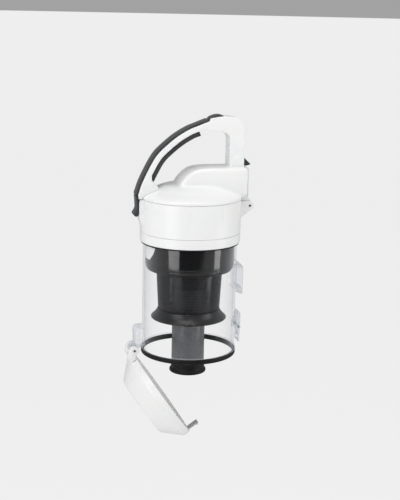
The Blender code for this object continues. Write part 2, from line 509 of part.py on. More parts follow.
def build_flap(white, grey, flap):
    wall = FLAP_WALL
    floor = FLAP_FLOOR
    obj = add_object("flap", lathe_mesh([
        (0, floor + wall), (FLAP_FLOOR_R - 1.0, floor + wall), (FLAP_R - wall, FLAP_SKIRT_LOW + 0.7),
        (FLAP_R - wall, FLAP_TOP), (FLAP_R, FLAP_TOP), (FLAP_R, FLAP_SKIRT_LOW),
        (FLAP_FLOOR_R, floor), (0, floor)][::-1]), white, flap)
    y, z = FLAP_HINGE
    arm = [(-69.2, -8.6), (-69.2, 0.4), (-73.6, 2.2)] + arc(FLAP_HINGE, KNUCKLE_R, -15, 195, 12) + [
        (-85.0, -1.5), (-77.5, -8.6)]
    for side in (-1, 1):
        join(obj, prism_mesh(arm, *sorted((side * 9.1, side * 15.8))), f"arm{side}")
    cut(obj, rod_mesh(FLAP_HINGE, 1.75, -30, 30, 12), "hinge_bore")
    join(obj, box_mesh(-8.0, 8.0, 68.9, 73.6, -9.0, 0.4), "hook_socket")
    cut(obj, box_mesh(-5.4, 5.4, HOOK_FRONT - GAP, HOOK_REAR + GAP, -7.6, 4.0), "hook_slot")
    hook = [(HOOK_FRONT, -7.2), (HOOK_REAR, -7.2), (HOOK_REAR, 13.6), (72.9, 13.6), (72.9, 14.6),
            (HOOK_REAR, 17.6), (HOOK_FRONT, 17.6)]
    add_object("flap_hook", prism_mesh(hook, 5.0), grey, flap)


def build_rocker(clear, steel, root):
    rocker = make_pivot("rocker_axis", *ROCKER_PIVOT, root)
    outline = [(72.2, 9.6), (73.8, 9.6), (74.6, 33.0), (75.2, 49.0), (74.0, 54.4), (72.0, 54.4),
               (70.6, 50.0), (69.4, 35.0), (69.6, 31.0), (72.2, 25.0)]
    obj = add_object("flap_release_rocker", prism_mesh(outline, ROCKER_HALF), clear, rocker)
    cut(obj, rod_mesh(ROCKER_PIVOT, 1.3, -20, 20, 12), "bore")
    cut(obj, box_mesh(-5.5, 5.5, 60, 80, 13.2, 18.4), "hook_window")
    coil("rocker_spring", steel, root, (0, 67.6, 44.0), "X", 0.65, 0.2, 9.0, 5)


def build():
    clear_scene()
    white = make_material("white plastic", (0.88, 0.88, 0.88), 0.35)
    clear = make_material("clear plastic", (0.86, 0.89, 0.92), 0.06, 0.0, 0.95)
    dark = make_material("dark soft plastic", (0.05, 0.05, 0.055), 0.6)
    gloss = make_material("gloss black plastic", (0.02, 0.02, 0.022), 0.15)
    screen = make_material("satin black plastic", (0.035, 0.035, 0.04), 0.45)
    grey = make_material("grey plastic", (0.22, 0.22, 0.23), 0.45)
    rubber = make_material("black rubber", (0.012, 0.012, 0.012), 0.75)
    pale_rubber = make_material("pale rubber", (0.7, 0.71, 0.72), 0.7)
    paper = make_material("filter paper", (0.75, 0.74, 0.70), 0.95)
    label = make_material("label", (0.85, 0.86, 0.86), 0.4)
    steel = make_material("steel", (0.6, 0.6, 0.6), 0.3, 1.0)

    root = make_pivot("carry_grip", 0.0, 0.0)
    root.location.z = -GRIP_HEIGHT * MM
    cover = make_pivot("cover_hinge_axis", *COVER_HINGE, root)
    flap = make_pivot("flap_hinge_axis", *FLAP_HINGE, root)
    flap.rotation_euler.x = -math.radians(FLAP_OPEN_DEG)

    build_bin(clear, root)
    build_bin_fittings(rubber, steel, root)
    build_separator(gloss, screen, grey, rubber, label, root)
    build_head(white, rubber, grey, paper, steel, root)
    build_cover(white, rubber, pale_rubber, cover)
    build_handle(white, dark, steel, cover)
    build_dock_release(dark, grey, steel, cover)
    build_cover_latch(dark, steel, cover)
    build_flap(white, grey, flap)
    build_rocker(clear, steel, root)


build()
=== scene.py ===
import json
import math

import bmesh
import bpy
from mathutils import Matrix, Vector


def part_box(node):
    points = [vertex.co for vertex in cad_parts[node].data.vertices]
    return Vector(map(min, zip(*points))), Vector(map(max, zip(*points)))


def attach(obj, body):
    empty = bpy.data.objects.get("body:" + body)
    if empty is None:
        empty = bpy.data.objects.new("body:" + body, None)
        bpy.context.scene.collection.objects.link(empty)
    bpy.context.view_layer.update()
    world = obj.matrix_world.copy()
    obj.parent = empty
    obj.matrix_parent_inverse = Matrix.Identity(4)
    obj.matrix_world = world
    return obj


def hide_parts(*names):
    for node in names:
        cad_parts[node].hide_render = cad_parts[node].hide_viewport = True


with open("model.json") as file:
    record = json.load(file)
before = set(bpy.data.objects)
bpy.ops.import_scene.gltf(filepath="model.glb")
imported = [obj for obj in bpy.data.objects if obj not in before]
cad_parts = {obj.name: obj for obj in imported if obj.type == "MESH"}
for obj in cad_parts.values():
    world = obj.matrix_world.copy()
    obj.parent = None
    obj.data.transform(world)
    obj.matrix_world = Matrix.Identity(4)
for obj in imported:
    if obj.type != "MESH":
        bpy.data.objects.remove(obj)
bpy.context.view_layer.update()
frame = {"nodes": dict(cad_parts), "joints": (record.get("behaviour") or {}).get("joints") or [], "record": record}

mm = 0.001
fine = 144                                               # sides of turned pieces
pinHole = {"hinge": 1.75, "small": 1.3, "rocker": 1.35}  # radii of the pin holes, mm
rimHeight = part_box("bin_rim_seal")[0][2] + 3.2 * mm      # world height of the bin's bottom rim
jointAt = {j["name"]: j for j in frame["joints"]}
print("frame loaded, rim at", round(rimHeight, 4))


def jointPoint(name):
    # a joint's (y, z) in millimetres, z above the bin's rim
    x, y, z = jointAt[name]["pos_m"]
    return y / mm, (z - rimHeight) / mm


def hexColour(code, alpha=1.0):
    parts = [int(code[i:i + 2], 16) / 255 for i in (1, 3, 5)]
    return (*[p / 12.92 if p <= 0.04045 else ((p + 0.055) / 1.055) ** 2.4 for p in parts], alpha)


# materials

def addNode(tree, kind, values=None, links=None, **settings):
    node = tree.nodes.new(kind)
    for key, value in settings.items():
        setattr(node, key, value)
    for key, value in (values or {}).items():
        node.inputs[key].default_value = value
    for key, source in (links or {}).items():
        tree.links.new(source, node.inputs[key])
    return node


def startMaterial(name, colour, roughness, **sockets):
    material = bpy.data.materials.new(name)
    material.use_nodes = True
    tree = material.node_tree
    shader = tree.nodes["Principled BSDF"]
    shader.inputs["Base Color"].default_value = hexColour(colour)
    shader.inputs["Roughness"].default_value = roughness
    for key, value in sockets.items():
        shader.inputs[key.replace("_", " ")].default_value = value
    coords = addNode(tree, "ShaderNodeTexCoord")
    return material, tree, shader, coords.outputs["Object"]


def perMillimetre(size):
    # noise scale whose grains are about this many millimetres wide, on metre coordinates
    return 1.0 / (size * mm)


def addGrain(tree, shader, coords, grain, height, detail=2.0):
    noise = addNode(tree, "ShaderNodeTexNoise", {"Scale": perMillimetre(grain), "Detail": detail},
                    {"Vector": coords})
    bump = addNode(tree, "ShaderNodeBump", {"Strength": 1.0, "Distance": height * mm},
                   {"Height": noise.outputs["Fac"]})
    tree.links.new(bump.outputs["Normal"], shader.inputs["Normal"])


def addMottle(tree, shader, coords, patch, dark, light, rough=None):
    # slow change of tone, and of gloss where it is given, as handling and moulding leave it
    noise = addNode(tree, "ShaderNodeTexNoise", {"Scale": perMillimetre(patch), "Detail": 3.0},
                    {"Vector": coords})
    ramp = addNode(tree, "ShaderNodeValToRGB", None, {"Fac": noise.outputs["Fac"]})
    ramp.color_ramp.elements[0].position, ramp.color_ramp.elements[1].position = 0.3, 0.7
    ramp.color_ramp.elements[0].color = hexColour(dark)
    ramp.color_ramp.elements[1].color = hexColour(light)
    tree.links.new(ramp.outputs["Color"], shader.inputs["Base Color"])
    if rough:
        spread = addNode(tree, "ShaderNodeMapRange",
                         {"From Min": 0.3, "From Max": 0.7, "To Min": rough[0], "To Max": rough[1]},
                         {"Value": noise.outputs["Fac"]})
        tree.links.new(spread.outputs["Result"], shader.inputs["Roughness"])


def whiteAbsMoulded():
    # ABS from a lightly eroded mould: even white with a soft gloss and a fine skin
    material, tree, shader, coords = startMaterial("white ABS moulded", "#f3f4f4", 0.3, IOR=1.54,
                                                   Subsurface_Weight=0.05, Subsurface_Scale=0.002)
    addGrain(tree, shader, coords, 0.7, 0.006)          # real grain is 0.1 mm, drawn coarser to show
    addMottle(tree, shader, coords, 45, "#f1f2f3", "#f5f5f4", (0.26, 0.36))
    return material


def clearPolycarbonateMoulded():
    # clear polycarbonate: nearly see-through face on, pale grey-blue where the wall is seen edge on
    material, tree, shader, coords = startMaterial("clear polycarbonate moulded", "#e3e8ef", 0.05, IOR=1.58)
    facing = addNode(tree, "ShaderNodeLayerWeight", {"Blend": 0.35})
    edgeOn = addNode(tree, "ShaderNodeMath", {1: 2.2}, {0: facing.outputs["Facing"]}, operation="POWER")
    film = addNode(tree, "ShaderNodeMapRange", {"To Min": 0.003, "To Max": 0.5},
                   {"Value": edgeOn.outputs["Value"]})
    flat = addNode(tree, "ShaderNodeVectorMath", {1: (1.0, 1.0, 0.0)}, {0: coords}, operation="MULTIPLY")
    reach = addNode(tree, "ShaderNodeVectorMath", None, {0: flat.outputs["Vector"]}, operation="LENGTH")
    solid = addNode(tree, "ShaderNodeMapRange",
                    {"From Min": 67 * mm, "From Max": 69 * mm, "To Min": 0.0, "To Max": 0.3},
                    {"Value": reach.outputs["Value"]})  # the blocks outside the wall are thicker, so milkier
    both = addNode(tree, "ShaderNodeMath", None, {0: film.outputs["Result"], 1: solid.outputs["Result"]},
                   operation="ADD")
    tree.links.new(both.outputs["Value"], shader.inputs["Alpha"])
    waves = addNode(tree, "ShaderNodeTexNoise", {"Scale": perMillimetre(30), "Detail": 1.0},
                    {"Vector": coords})                 # the slight waviness of a moulded wall
    bump = addNode(tree, "ShaderNodeBump", {"Strength": 0.3, "Distance": 0.05 * mm},
                   {"Height": waves.outputs["Fac"]})
    tree.links.new(bump.outputs["Normal"], shader.inputs["Normal"])
    return material


def glossBlackAbsPolished():
    # black ABS from a polished mould: deep black that mirrors the lamps
    material, tree, shader, coords = startMaterial("gloss black ABS polished", "#0f0f10", 0.1, IOR=1.54)
    shader.inputs["Coat Weight"].default_value = 1.0
    shader.inputs["Coat Roughness"].default_value = 0.05
    addGrain(tree, shader, coords, 12, 0.01, 1.0)
    addMottle(tree, shader, coords, 30, "#0e0e0f", "#131315", (0.08, 0.16))
    return material


def greyBlackAbsMoulded():
    # grey-black ABS of the screen: lighter than the shroud, and shiny, so its webs stand out from the holes
    material, tree, shader, coords = startMaterial("grey-black ABS moulded", "#2c2c2e", 0.16, IOR=1.54)
    addGrain(tree, shader, coords, 0.8, 0.008)
    addMottle(tree, shader, coords, 25, "#29292b", "#303032", (0.12, 0.2))
    return material


def satinBlackAbsMoulded():
    # satin black ABS: dark grey in the light, with soft wide highlights
    material, tree, shader, coords = startMaterial("satin black ABS moulded", "#151516", 0.28, IOR=1.54)
    addGrain(tree, shader, coords, 0.8, 0.008)
    addMottle(tree, shader, coords, 25, "#131314", "#18181a", (0.24, 0.36))
    return material


def greyAbsMoulded():
    # mid grey ABS with faint draw marks up and down, left by the long core of its mould
    material, tree, shader, coords = startMaterial("grey ABS moulded", "#67696c", 0.26, IOR=1.54)
    stretch = addNode(tree, "ShaderNodeMapping", {"Scale": (1.0, 1.0, 0.04)}, {"Vector": coords})
    addGrain(tree, shader, stretch.outputs["Vector"], 1.2, 0.02)
    addMottle(tree, shader, coords, 20, "#626467", "#6c6e71", (0.22, 0.32))
    return material


def lightGreyAbsMoulded():
    # the hook's lighter grey ABS, a little worn where it snaps
    material, tree, shader, coords = startMaterial("light grey ABS moulded", "#aeafb0", 0.42, IOR=1.54)
    addGrain(tree, shader, coords, 0.6, 0.01)
    addMottle(tree, shader, coords, 6, "#a8a9aa", "#b6b7b8")
    return material


def darkSoftTouchMoulded():
    # soft-touch elastomer: dull dark grey with a fine grain, smoother where fingers polish it
    material, tree, shader, coords = startMaterial("dark elastomer moulded", "#37383a", 0.55, IOR=1.5,
                                                   Sheen_Weight=0.12, Sheen_Roughness=0.4)
    addGrain(tree, shader, coords, 0.5, 0.03)
    addMottle(tree, shader, coords, 35, "#303133", "#3f4042", (0.46, 0.62))
    return material


def blackRubberMoulded():
    # black rubber from a smooth mould: near black, with a soft gloss on its round edges
    material, tree, shader, coords = startMaterial("black rubber moulded", "#0b0b0c", 0.55, IOR=1.41)
    addGrain(tree, shader, coords, 0.7, 0.015)
    addMottle(tree, shader, coords, 12, "#09090a", "#101011", (0.48, 0.62))
    return material


def paleRubberMoulded():
    # pale grey rubber of the outlet's seal, dull and even
    material, tree, shader, coords = startMaterial("pale rubber moulded", "#dadbdc", 0.6, IOR=1.41)
    addGrain(tree, shader, coords, 0.8, 0.015)
    addMottle(tree, shader, coords, 15, "#d5d6d7", "#dfe0e1", (0.55, 0.68))
    return material


def drawnSteel():
    # drawn steel pins and springs, with fine lines along them
    material, tree, shader, coords = startMaterial("steel drawn", "#b9babc", 0.3, Metallic=1.0)
    stretch = addNode(tree, "ShaderNodeMapping", {"Scale": (0.05, 1.0, 1.0)}, {"Vector": coords})
    addGrain(tree, shader, stretch.outputs["Vector"], 0.3, 0.01)
    return material


def filterPaperPleated():
    # pleated filter paper: matt off-white with loose fibres
    material, tree, shader, coords = startMaterial("filter paper pleated", "#dcd9cf", 0.92, IOR=1.5)
    addGrain(tree, shader, coords, 0.6, 0.05, 6.0)
    addMottle(tree, shader, coords, 4, "#d5d2c7", "#e2dfd6")
    return material


def whiteFilmPrinted():
    # a printed film: flat bright white under a thin gloss, blank here
    material, tree, shader, coords = startMaterial("white film printed", "#f4f5f4", 0.22, IOR=1.5)
    addGrain(tree, shader, coords, 2.0, 0.006)
    addMottle(tree, shader, coords, 20, "#f0f1f0", "#f6f6f5")
    return material


finishes = {
    "white_plastic": whiteAbsMoulded(), "clear_plastic": clearPolycarbonateMoulded(),
    "gloss_black": glossBlackAbsPolished(), "satin_black": satinBlackAbsMoulded(),
    "grey_plastic": greyAbsMoulded(), "dark_grip": darkSoftTouchMoulded(),
    "black_rubber": blackRubberMoulded(), "steel": drawnSteel(), "filter_paper": filterPaperPleated(),
    "label_white": whiteFilmPrinted(), "pale_rubber": paleRubberMoulded(),
}
hookGrey = lightGreyAbsMoulded()
screenBlack = greyBlackAbsMoulded()
slotOf = {part["node"]: part["material_slot"] for part in frame["record"]["subparts"]}
bodyOf = {node: body for body, nodes in frame["record"]["behaviour"]["bodies"].items() for node in nodes}
for nodeName, nodeObject in frame["nodes"].items():
    nodeObject.data.materials.clear()
    nodeObject.data.materials.append(finishes[slotOf[nodeName]])
frame["nodes"]["inner_cone"].data.materials[0] = finishes["satin_black"]    # painted shade: the cone is made satin black in place of its slot's finish, so it shows dark behind the screen's holes
print("materials made")


# mesh helpers, all in millimetres above the bin's rim

def movedVerts(result):
    return [item for item in result["geom"] if isinstance(item, bmesh.types.BMVert)]


def lathe(profile, steps=fine, first=0.0, sweep=360.0):
    bm = bmesh.new()
    verts = [bm.verts.new((r, 0, z)) for r, z in profile]
    onAxis = profile[0][0] == 0 and profile[-1][0] == 0  # an outline that ends on the axis stays open there
    for a, b in zip(verts, verts[1:] + ([] if onAxis else verts[:1])):
        bm.edges.new((a, b))
    bmesh.ops.rotate(bm, verts=bm.verts, cent=(0, 0, 0), matrix=Matrix.Rotation(math.radians(first), 3, "Z"))
    full = sweep == 360.0
    section = list(bm.verts) + list(bm.edges)
    bmesh.ops.spin(bm, geom=section, cent=(0, 0, 0), axis=(0, 0, 1), angle=math.radians(sweep),
                   steps=steps, use_merge=full)
    if not full:
        bmesh.ops.holes_fill(bm, edges=bm.edges, sides=0)
    bmesh.ops.remove_doubles(bm, verts=bm.verts, dist=0.0005)
    bmesh.ops.recalc_face_normals(bm, faces=bm.faces)
    return bm


def slab(outline, low, high, edge=0.0, segments=3, sharpest=25.0):
    # an outline of (y, z) points pushed from x = low to x = high, its sharper edges rounded by edge
    bm = bmesh.new()
    face = bm.faces.new([bm.verts.new((low, y, z)) for y, z in outline])
    pushed = bmesh.ops.extrude_face_region(bm, geom=[face])
    bmesh.ops.translate(bm, verts=movedVerts(pushed), vec=(high - low, 0, 0))
    bmesh.ops.recalc_face_normals(bm, faces=bm.faces)
    if edge:
        edges = [e for e in bm.edges if e.calc_face_angle(0) > math.radians(sharpest)]
        bmesh.ops.bevel(bm, geom=edges, offset=edge, offset_type="OFFSET", segments=segments, profile=0.5,
                        affect="EDGES", material=-1, clamp_overlap=True)
    return bm


def block(x0, x1, y0, y1, z0, z1, edge=0.0):
    return slab([(y0, z0), (y1, z0), (y1, z1), (y0, z1)], x0, x1, edge)


def ring(centre, radius, steps=40):
    turns = [2 * math.pi * i / steps for i in range(steps)]
    return [(centre[0] + radius * math.cos(t), centre[1] + radius * math.sin(t)) for t in turns]


def pinBore(joint, radius):
    # a cutter along x for the pin of a joint
    return slab(ring(jointPoint(joint), radius), -30, 30)


def onSide(side, inner, outer):
    # the low and high x of a slab that stands on one side of the middle
    return sorted((side * inner, side * outer))


def arc(centre, radius, first, last, steps=10):
    turns = [math.radians(first + (last - first) * i / steps) for i in range(steps + 1)]
    return [(centre[0] + radius * math.cos(t), centre[1] + radius * math.sin(t)) for t in turns]


def curveThrough(points, perSpan=8):
    # a smooth curve through a few points, and its normal to the left at each sample
    spots = [Vector(p) for p in points]
    spots = [2 * spots[0] - spots[1], *spots, 2 * spots[-1] - spots[-2]]
    curve = []
    for a, b, c, d in zip(spots, spots[1:], spots[2:], spots[3:]):
        for i in range(perSpan):
            t = i / perSpan
            curve.append(0.5 * (2 * b + (c - a) * t + (2 * a - 5 * b + 4 * c - d) * t * t
                                + (3 * b - a - 3 * c + d) * t ** 3))
    curve.append(spots[-2])
    samples = []
    for i, spot in enumerate(curve):
        heading = (curve[min(i + 1, len(curve) - 1)] - curve[max(i - 1, 0)]).normalized()
        samples.append((spot, Vector((-heading.y, heading.x))))
    return samples


def toWorld(bm):
    bmesh.ops.scale(bm, vec=(mm, mm, mm), verts=bm.verts)
    bmesh.ops.translate(bm, verts=bm.verts, vec=(0, 0, rimHeight))


def makeObject(name, bm, smoothAngle=32):
    toWorld(bm)
    mesh = bpy.data.meshes.new(name)
    bm.to_mesh(mesh)
    bm.free()
    mesh.shade_smooth()
    mesh.set_sharp_from_angle(angle=math.radians(smoothAngle))
    piece = bpy.data.objects.new(name, mesh)
    bpy.context.scene.collection.objects.link(piece)
    return piece


def applyModifiers(piece, smoothAngle=32):
    graph = bpy.context.evaluated_depsgraph_get()
    mesh = bpy.data.meshes.new_from_object(piece.evaluated_get(graph))
    piece.modifiers.clear()
    old, piece.data = piece.data, mesh
    bpy.data.meshes.remove(old)
    mesh.shade_smooth()
    mesh.set_sharp_from_angle(angle=math.radians(smoothAngle))


def combine(piece, helpers, smoothAngle=32):
    # each helper is (bmesh, "UNION", "DIFFERENCE" or "INTERSECT")
    made = []
    for bm, operation in helpers:
        helper = makeObject(piece.name + "Helper", bm)
        modifier = piece.modifiers.new("shape", "BOOLEAN")
        modifier.operation, modifier.solver, modifier.object = operation, "EXACT", helper
        made.append(helper)
    applyModifiers(piece, smoothAngle)
    for helper in made:
        mesh = helper.data
        bpy.data.objects.remove(helper)
        bpy.data.meshes.remove(mesh)


def soften(piece, voxel, passes):
    # joins the shapes in one skin and rounds every inner corner, as a moulding's fillets do
    modifier = piece.modifiers.new("skin", "REMESH")
    modifier.mode, modifier.voxel_size, modifier.adaptivity = "VOXEL", voxel * mm, 0.0
    modifier = piece.modifiers.new("fillets", "SMOOTH")
    modifier.factor, modifier.iterations = 0.5, passes
    applyModifiers(piece, 70)


def standIn(piece, node, material=None):
    # the piece rides where its CAD node rides, and stands for it
    slot = slotOf[node]
    piece.data.materials.clear()
    piece.data.materials.append(material or finishes[slot])
    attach(piece, bodyOf[node])
    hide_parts(node)


def rounded(outline, radius, steps=4, skip=()):
    # rounds each corner of a closed outline with a short curve, but for the corners named in skip
    done = []
    count = len(outline)
    for i, corner in enumerate(outline):
        here, before, after = Vector(corner), Vector(outline[i - 1]), Vector(outline[(i + 1) % count])
        reach = min(radius, 0.45 * (before - here).length, 0.45 * (after - here).length)
        if i in skip or reach < 0.05:
            done.append(corner)
            continue
        start = here.lerp(before, reach / (before - here).length)
        end = here.lerp(after, reach / (after - here).length)
        for k in range(steps + 1):
            t = k / steps
            done.append(tuple((1 - t) ** 2 * start + 2 * t * (1 - t) * here + t * t * end))
    return done


# the clear bin, with its hinge block, inlet flange and the rocker's ears

binForm = {"radius": 66.5, "wall": 2.5, "top": 166.0, "rimRadius": 68.2, "rimLow": 4.2, "rimHigh": 5.8,
           "inletRear": 74.5, "inletHalf": 19.0, "inletLow": 83.0, "inletHigh": 129.0,
           "blockHalf": 16.0, "webHalf": 8.6, "knuckle": 6.0, "earIn": 10.5, "earOut": 13.2}


def makeClearBin(form):
    outer, inner = form["radius"], form["radius"] - form["wall"]
    wallIn = outer - 1.2                # just inside the wall's outer face, where joined pieces start
    hinge = jointPoint("flap_hinge")
    rocker = jointPoint("rocker_press")
    rimRadius, rimLow, rimHigh, top = form["rimRadius"], form["rimLow"], form["rimHigh"], form["top"]
    profile = rounded([(outer, top), (outer, rimHigh), (rimRadius, rimHigh), (rimRadius, rimLow),
                       (inner, rimLow), (inner, top)], 0.5)
    piece = makeObject("clearBin", lathe(profile))
    hingeBlock = rounded([(-wallIn, 12.6), (-78.5, 12.6), (-79.0, 33.0), (-75.5, 37.0), (-wallIn + 3, 37.0)],
                         3.0, skip=(0, 4))
    web = [(-wallIn + 1, 14.0), (-wallIn + 1, 7.5), (-76.0, 7.5), (-84.0, 10.0), (-80.0, 15.0)]
    flange = rounded([(wallIn - 5, form["inletLow"] + 6), (form["inletRear"], form["inletLow"]),
                      (form["inletRear"], form["inletHigh"] - 5), (form["inletRear"] - 5, form["inletHigh"]),
                      (wallIn - 5, form["inletHigh"])], 2.5, skip=(0, 4))
    blockHalf, webHalf, inletHalf = form["blockHalf"], form["webHalf"], form["inletHalf"]
    helpers = [(slab(hingeBlock, -blockHalf, blockHalf, 1.5), "UNION"),
               (slab(web, -webHalf, webHalf, 0.8), "UNION"),
               (slab(ring(hinge, form["knuckle"]), -webHalf - 0.1, webHalf + 0.1, 0.5), "UNION"),
               (slab(flange, -inletHalf, inletHalf, 2.0), "UNION")]
    ear = [(wallIn - 2, 26), (rocker[0], 28.6)] + arc(rocker, 3.0, -60, 60)
    ear += [(rocker[0], 37.4), (wallIn - 2, 40)]
    for side in (-1, 1):
        helpers.append((slab(ear, *onSide(side, form["earIn"], form["earOut"]), 0.5), "UNION"))
    inlet = block(4 - inletHalf, inletHalf - 4, 50, 80, form["inletLow"] + 9, form["inletHigh"] - 8, 2.0)
    helpers += [(pinBore("flap_hinge", pinHole["hinge"]), "DIFFERENCE"),
                (inlet, "DIFFERENCE"),
                (pinBore("rocker_press", pinHole["rocker"]), "DIFFERENCE"),
                (lathe([(0, top + 5), (inner, top + 5), (inner, -8), (0, -8)]), "DIFFERENCE")]
    combine(piece, helpers)
    standIn(piece, "clear_bin")


# the round pieces that are only turned: CAD node, corner rounding, outline of (radius, height)

turned = {
    "rimSeal": ("bin_rim_seal", 1.0, [
        (68.0, 3.1), (68.0, -2.0), (66.8, -3.2), (64.4, -3.2), (64.4, 3.9), (67.2, 3.9)]),
    "collarSeal": ("collar_seal", 0.4, [(69.6, 160.7), (69.6, 158.9), (66.8, 158.9), (66.8, 160.7)]),
    "collarRing": ("collar_ring", 0.8, [
        (70.8, 174.7), (71.2, 174.2), (71.2, 161.8), (70.4, 161.0), (66.8, 161.0), (66.8, 166.3),
        (62.5, 167.7), (62.5, 169.6), (68.7, 170.6), (68.7, 174.7)]),
    "shroudBand": ("shroud_band", 0.5, [
        (63.2, 164.0), (63.2, 131.0), (62.3, 130.6), (62.3, 129.8), (63.0, 129.4), (62.6, 126.6),
        (61.9, 126.2), (61.9, 125.7), (62.4, 125.3), (62.0, 123.5), (61.4, 122.9), (60.0, 122.9),
        (60.0, 131), (61.0, 134), (61.0, 164.0)]),
    "shroudStep": ("shroud_step", 1.2, [
        (61.0, 122.6), (60.4, 120.6), (54.0, 118.6), (47.6, 118.1), (41.0, 118.1), (41.0, 120.4),
        (57.0, 122.6)]),
    "skirt": ("skirt", 1.5, [
        (44.4, 62.7), (45.2, 60.0), (48.0, 55.5), (52.6, 50.8), (54.0, 49.7), (53.7, 48.5),
        (52.4, 48.5), (45.5, 54.6), (42.8, 59.6), (25.8, 60.0), (24.0, 60.8), (24.0, 62.7)]),
    "dustTube": ("dust_tube", 0.4, [(23.5, 92.0), (23.5, -17.7), (21.5, -17.7), (21.5, 92.0)]),
    "tubeBoot": ("tube_boot", 1.0, [
        (24.4, -18.0), (24.1, -24.0), (24.5, -26.5), (26.4, -29.0), (26.4, -31.7), (24.9, -32.7),
        (21.5, -32.7), (20.5, -28.0), (20.1, -24.0), (20.1, -18.0)]),
}


def makeTurned():
    for name, (node, corner, outline) in turned.items():
        standIn(makeObject(name, lathe(rounded(outline, corner))), node)


# the screen: a flat sheet of six-sided holes, rolled into a cone and given its wall

screenForm = {"topRadius": 47.0, "top": 117.8, "lowRadius": 44.0, "low": 63.0, "wall": 1.2,
              "around": 106, "rim": 2.0, "frame": 0.54, "weld": 0.02}


def makeScreen(form):
    pitch = 2 * math.pi * (form["topRadius"] + form["lowRadius"]) / 2 / form["around"]
    rowStep = pitch * math.sqrt(3) / 2
    low, high = form["low"] + form["rim"], form["top"] - form["rim"]
    bm = bmesh.new()
    cell = bmesh.ops.create_circle(bm, cap_ends=True, segments=6, radius=pitch / math.sqrt(3))["verts"]
    bmesh.ops.translate(bm, verts=cell, vec=(0, low, 0))
    strip = list(bm.faces)
    for row in range(1, int((high - low) / rowStep) + 2):
        copy = bmesh.ops.duplicate(bm, geom=list(strip[0].verts) + list(strip[0].edges) + [strip[0]])
        shift = (pitch / 2 if row % 2 else 0, row * rowStep, 0)
        bmesh.ops.translate(bm, verts=movedVerts(copy), vec=shift)
    column = list(bm.verts) + list(bm.edges) + list(bm.faces)
    for turn in range(1, form["around"]):
        copy = bmesh.ops.duplicate(bm, geom=column)
        bmesh.ops.translate(bm, verts=movedVerts(copy), vec=(turn * pitch, 0, 0))
    bmesh.ops.remove_doubles(bm, verts=bm.verts, dist=form["weld"])
    cells = list(bm.faces)
    bmesh.ops.inset_individual(bm, faces=cells, thickness=form["frame"], use_even_offset=True)
    bmesh.ops.delete(bm, geom=cells, context="FACES")
    for level, normal in ((low, -1), (high, 1)):
        bmesh.ops.bisect_plane(bm, geom=list(bm.verts) + list(bm.edges) + list(bm.faces), dist=0.0005,
                               plane_co=(0, level, 0), plane_no=(0, normal, 0), clear_outer=True)
        rim = [e for e in bm.edges if all(abs(v.co.y - level) < 0.001 for v in e.verts)]
        pushed = bmesh.ops.extrude_edge_only(bm, edges=rim)
        bmesh.ops.translate(bm, verts=movedVerts(pushed), vec=(0, normal * form["rim"], 0))
    slope = (form["topRadius"] - form["lowRadius"]) / (form["top"] - form["low"])
    for vert in bm.verts:
        around, z = vert.co.x / (pitch * form["around"]) * 2 * math.pi, vert.co.y
        radius = form["lowRadius"] + slope * (z - form["low"])
        vert.co = (radius * math.cos(around), radius * math.sin(around), z)
    bmesh.ops.remove_doubles(bm, verts=bm.verts, dist=form["weld"])
    bmesh.ops.recalc_face_normals(bm, faces=bm.faces)
    bmesh.ops.solidify(bm, geom=list(bm.faces), thickness=form["wall"])
    piece = makeObject("hexScreen", bm, smoothAngle=40)
    standIn(piece, "perforated_screen", material=screenBlack)


# head: a turned wall with a deck, a prow for the latch, hinge lugs and a faint raised panel each side

headForm = {"radius": 71.2, "wall": 2.5, "low": 175.0, "high": 221.9, "deckLow": 177.5, "deckHigh": 180.5,
            "deckHole": 27.0, "sides": 360, "levels": 30, "prowHalf": 10.5, "slotHalf": 6.8,
            "lugIn": 6.4, "lugOut": 14.0, "lugRadius": 6.3}
panelForm = {"from": -13.0, "to": 20.0, "edge": 1.0, "soft": 7.0, "lean": 4.0,       # degrees from the side
             "rise": 2.6, "sunk": 0.45, "low": 187.0, "full": 203.0, "fadeOut": 5.0}


def raisePanel(bm, form, innerRadius, top):
    # a shallow flat on each side: it starts sunken at a crease in front and ends at a soft ridge behind
    for vert in bm.verts:
        x, y, z = vert.co
        radius = math.hypot(x, y)
        if radius < innerRadius or z < form["low"]:
            continue
        angle = math.degrees(math.atan2(y, abs(x)))
        climb = min(1.0, (z - form["low"]) / (form["full"] - form["low"]))
        fade = climb * min(1.0, max(0.0, (top - z) / form["fadeOut"]))
        front = form["from"] - form["lean"] * (1 - climb) ** 2
        share = min(1.0, (angle - front) / (form["to"] - front))
        crease = min(1.0, max(0.0, (angle - front) / form["edge"]))
        after = min(1.0, max(0.0, (form["to"] + form["soft"] - angle) / form["soft"]))
        lift = form["rise"] * (share - form["sunk"]) * crease * after * fade
        vert.co.x *= 1 + lift / radius
        vert.co.y *= 1 + lift / radius


